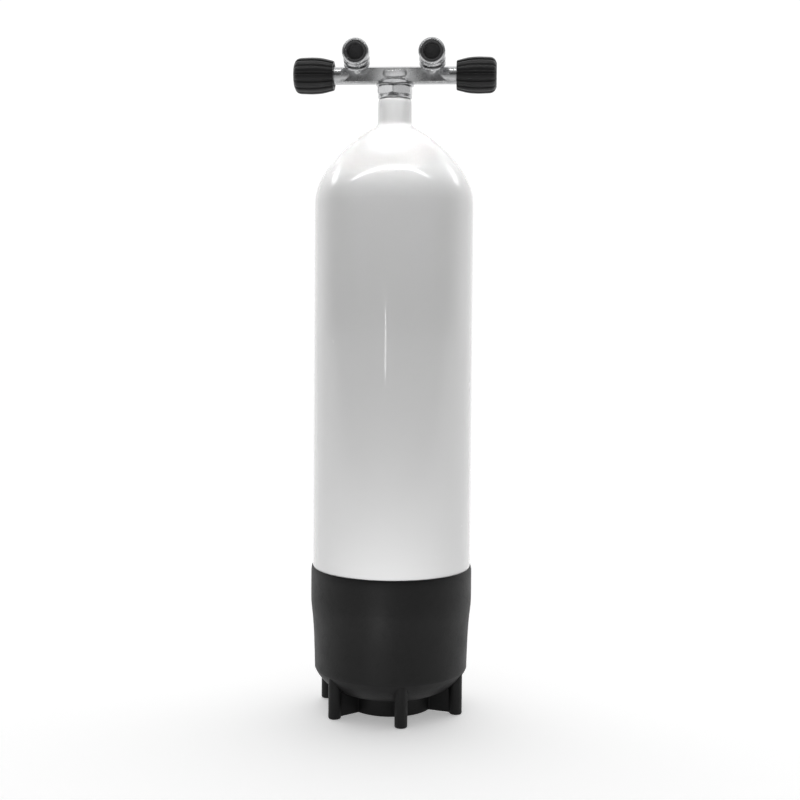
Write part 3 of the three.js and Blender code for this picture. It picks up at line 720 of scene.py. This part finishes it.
def grip(sign):
    ribs, per = 14, 26
    n = ribs * per
    edge = monotone(GRIP, 1.2)
    rows = []
    for r0, u in edge:
        inward = min(1.0, (u - 65.5) / 1.4)
        deep = 1.45 * inward * (1.0 if u < 102.8 else max(0.25, 1 - (u - 102.8) / 6.2))
        row = []
        for k in range(n):
            f = abs((k / per) % 1.0 - 0.5) * 2  # 0 in the middle of a rib, 1 in the middle of a groove
            g = min(1.0, max(0.0, (f - 0.56) / 0.26))
            g = g * g * (3 - 2 * g)
            crown = 0.16 * (f / 0.56) ** 2 if f < 0.56 else 0.16
            r = r0 - crown - deep * g
            a = 2 * PI * k / n
            row.append((r * math.cos(a), r * math.sin(a), u))
        rows.append(row)
    inside = rounded([(13.4, 108.4), (12.6, 108.65), (9.2, 108.65), (8.3, 108.0), (8.3, 100.4), (11.3, 100.4), (11.3, 76.7), (12.2, 75.6), (12.2, 66.6), (12.8, 66.0), (15.2, 66.0)], 0.35)[1:]
    for r, u in inside:
        rows.append([(r * math.cos(2 * PI * k / n), r * math.sin(2 * PI * k / n), u) for k in range(n)])
    m = len(rows)
    verts = [v for r in rows for v in r]
    faces = []
    for i in range(m):
        j = (i + 1) % m
        for k in range(n):
            q = (k + 1) % n
            faces.append((i * n + k, i * n + q, j * n + q, j * n + k))
    return shifted(to_x(verts, sign), dz=BAR_Z), faces


core_shape = lathe(rounded([(3.7, 77.1), (11, 77.1), (11, 100), (7, 100), (7, 86), (3.7, 86)], 0.4, closed=True), 64)
nut_shape = hex_ring(11, 2.5, 94.3, 98.4, 0.6, 0.55, n=120, soft=0.12)
for sign, name in ((-1, "left"), (1, "right")):
    g = make(name + "_grip", grip(sign), 38)
    place(g, MAT["knob_rubber"], name + "_handwheel", "knob_rubber", name + "_knob_grip")
    c = make(name + "_core", (shifted(to_x(core_shape[0], sign), dz=BAR_Z), core_shape[1]), 40)
    place(c, MAT["knob_insert"], name + "_handwheel", "knob_insert", name + "_knob_core")
    u = make(name + "_nut", (shifted(to_x(nut_shape[0], sign), dz=BAR_Z), nut_shape[1]), 28)
    place(u, MAT["steel"], name + "_handwheel", "steel", name + "_knob_nut")

# ------------------------------------------------------------------ CAD nodes that stay keep their shape and get these finishes
slots = {s["node"]: s["material_slot"] for s in frame["record"]["subparts"]}
for node, o in NODES.items():
    o.data.materials.clear()
    o.data.materials.append(MAT[slots[node]])
    if not o.hide_render:
        o.data.set_sharp_from_angle(angle=math.radians(32))

# ------------------------------------------------------------------ floor
fn, fr = 64, [0.0, 0.25, 0.6, 1.4, 3.0, 7.0, 16.0]
floor_mesh = bpy.data.meshes.new("floor")
fv, ff = lathe([(0, 0)] + [(r * 1000, 0) for r in fr[1:]], fn, closed=False)
floor_mesh.from_pydata([(x * MM, y * MM, -0.0002) for x, y, z in fv], [], ff)
floor = bpy.data.objects.new("floor", floor_mesh)
bpy.context.scene.collection.objects.link(floor)
fm = Nodes("floor_pale")
pale = fm.mix(fm.noise(3, 3, 0.5), (0.92, 0.92, 0.92), (0.94, 0.94, 0.94))
where = fm.t.nodes.new("ShaderNodeSeparateXYZ")
fm.link(fm.co, where.inputs[0])
# painted shade: the floor turns grey ahead of the object, so the front of the object reflects dark
painted_front_shade = fm.ranged(where.outputs["Y"], -1.6, -0.45, 1.0, 0.0)
painted_floor_tone = fm.mix(painted_front_shade, pale, (0.48, 0.48, 0.48))
# painted glow: the floor emits in its own tone, which washes out shadows cast on it
fm.set(Base_Color=painted_floor_tone, Roughness=0.8, Emission_Color=painted_floor_tone, Emission_Strength=0.36)
floor_mesh.materials.append(fm.m)

# ------------------------------------------------------------------ light
world = bpy.data.worlds.new("studio")
bpy.context.scene.world = world
world.use_nodes = True
wt = world.node_tree
wt.nodes.clear()
wo = wt.nodes.new("ShaderNodeOutputWorld")
bg = wt.nodes.new("ShaderNodeBackground")
tc = wt.nodes.new("ShaderNodeTexCoord")
sep = wt.nodes.new("ShaderNodeSeparateXYZ")
back = wt.nodes.new("ShaderNodeMapRange")
back.interpolation_type = "SMOOTHSTEP"
back.inputs["From Min"].default_value = -0.20
back.inputs["From Max"].default_value = 0.60
back.inputs["To Min"].default_value = 0.08
back.inputs["To Max"].default_value = 1.04
roof = wt.nodes.new("ShaderNodeMapRange")
roof.interpolation_type = "SMOOTHSTEP"
roof.inputs["From Min"].default_value = 0.30
roof.inputs["From Max"].default_value = 0.85
roof.inputs["To Min"].default_value = 0.0
roof.inputs["To Max"].default_value = 0.40
total = wt.nodes.new("ShaderNodeMath")
total.operation = "ADD"
wt.links.new(tc.outputs["Generated"], sep.inputs[0])
wt.links.new(sep.outputs["Y"], back.inputs["Value"])
wt.links.new(sep.outputs["Z"], roof.inputs["Value"])
wt.links.new(back.outputs[0], total.inputs[0])
wt.links.new(roof.outputs[0], total.inputs[1])
wt.links.new(total.outputs[0], bg.inputs["Strength"])
bg.inputs["Color"].default_value = (1, 1, 1, 1)
wt.links.new(bg.outputs[0], wo.inputs[0])


def area(name, place_at, target, size, power, size_y=None, along=None):
    d = bpy.data.lights.new(name, "AREA")
    d.shape = "RECTANGLE"
    d.size = size
    d.size_y = size_y or size
    d.energy = power
    o = bpy.data.objects.new(name, d)
    o.location = place_at
    o.rotation_mode = "QUATERNION"
    aim = (Vector(target) - Vector(place_at)).normalized()
    if along is None:
        o.rotation_quaternion = aim.to_track_quat("-Z", "Y")
    else:
        z = -aim
        x = (Vector(along) - z * z.dot(Vector(along))).normalized()
        o.rotation_quaternion = Matrix((x, z.cross(x), z)).transposed().to_quaternion()
    o.visible_camera = False
    bpy.context.scene.collection.objects.link(o)
    return o


def only_on(light, *pieces):
    """A light whose glow falls on these pieces alone."""
    c = bpy.data.collections.new(light.name + "_on")
    for piece in pieces:
        c.objects.link(piece)
    light.light_linking.receiver_collection = c


top = area("top_box", (-0.10, -0.75, 1.9), (0, 0, 0.6), 1.0, 0.7, 0.6)
top.visible_glossy = False
for side, power, spot in ((-1, 0.97, (-1.5, -0.60, 0.89)), (1, 0.70, (1.30, -1.06, 0.89))):
    card = area("card_left" if side < 0 else "card_right", spot, (0, 0, 0.67), 1.3, 3.0 * power, 0.55)
    card.visible_diffuse = False
    only_on(card, connector)
strip = area("strip", (-0.203, -1.87, 0.345), (0, 0, 0.42), 0.03, 0.16, 0.17)
strip.visible_diffuse = False
only_on(strip, tank)
low = area("low_near", (0.0, -0.30, 0.05), (0, 0, 0.12), 0.32, 0.52, 0.05)
low.visible_glossy = False
only_on(low, tank)
sheen = area("boot_sheen", (-0.11, -0.51, 0.006), (-0.11, -0.51, 1.0), 0.50, 0.6, 0.030, (-0.12, -0.48, 0))
sheen.visible_diffuse = False
only_on(sheen, *[o for o in bpy.context.scene.objects if o.name.startswith("boot")])
bank = area("roof_bank", (-0.085, -0.515, 1.90), (0, 0, 0.57), 2.98, 10.0, 0.10, (2.97, 0.17, 0))
bank.visible_diffuse = False
left_arc = area("arc_left", (-1.42, 0.56, 1.48), (-0.05, -0.05, 0.576), 0.62, 1.5, 0.24, (0.55, 0.63, 0.45))
left_arc.visible_diffuse = False
only_on(left_arc, tank)
right_arc = area("arc_right", (1.26, 0.87, 1.47), (0.06, -0.04, 0.578), 0.62, 1.4, 0.24, (-0.63, 0.42, 0.45))
right_arc.visible_diffuse = False
only_on(right_arc, tank)
shoulder_fill = area("shoulder_fill", (0.0, -0.35, 1.50), (0, -0.03, 0.575), 0.15, 0.135, 0.15)
shoulder_fill.data.spread = math.radians(16)
shoulder_fill.visible_glossy = False
only_on(shoulder_fill, tank)
neck_fill = area("neck_fill", (0.0, -0.85, 0.80), (0, 0, 0.664), 0.09, 0.0095, 0.05)
neck_fill.data.spread = math.radians(12)
neck_fill.visible_glossy = False
only_on(neck_fill, tank)
lamp = area("bar_lamp", (-0.0096, -0.136, 0.703), (0, 0, BAR_Z * MM), 0.02, 0.0056, 0.012)
lamp.visible_diffuse = False
only_on(lamp, body)

# ------------------------------------------------------------------ camera
cam_data = bpy.data.cameras.new("camera")
cam = bpy.data.objects.new("camera", cam_data)
bpy.context.scene.collection.objects.link(cam)
CAM_AZ, CAM_D, CAM_H, CAM_PITCH, CAM_ROLL = 4.394, 1.4113, 0.4432, 2.765, 0.452
SHIFT = (0.0088, -0.045)
cam_data.sensor_width = 36
cam_data.lens = 58.606
cam_data.shift_x, cam_data.shift_y = SHIFT
a = math.radians(CAM_AZ)
cam.location = (CAM_D * math.sin(a), -CAM_D * math.cos(a), CAM_H)
cam.rotation_mode = "QUATERNION"
cam.rotation_quaternion = (
    Matrix.Rotation(a, 4, "Z")
    @ Matrix.Rotation(math.radians(90 - CAM_PITCH), 4, "X")
    @ Matrix.Rotation(math.radians(CAM_ROLL), 4, "Z")
).to_quaternion()
cam_data.clip_start, cam_data.clip_end = 0.05, 60
bpy.context.scene.camera = cam
bpy.context.scene.view_settings.view_transform = "Standard"
bpy.context.scene.view_settings.look = "None"
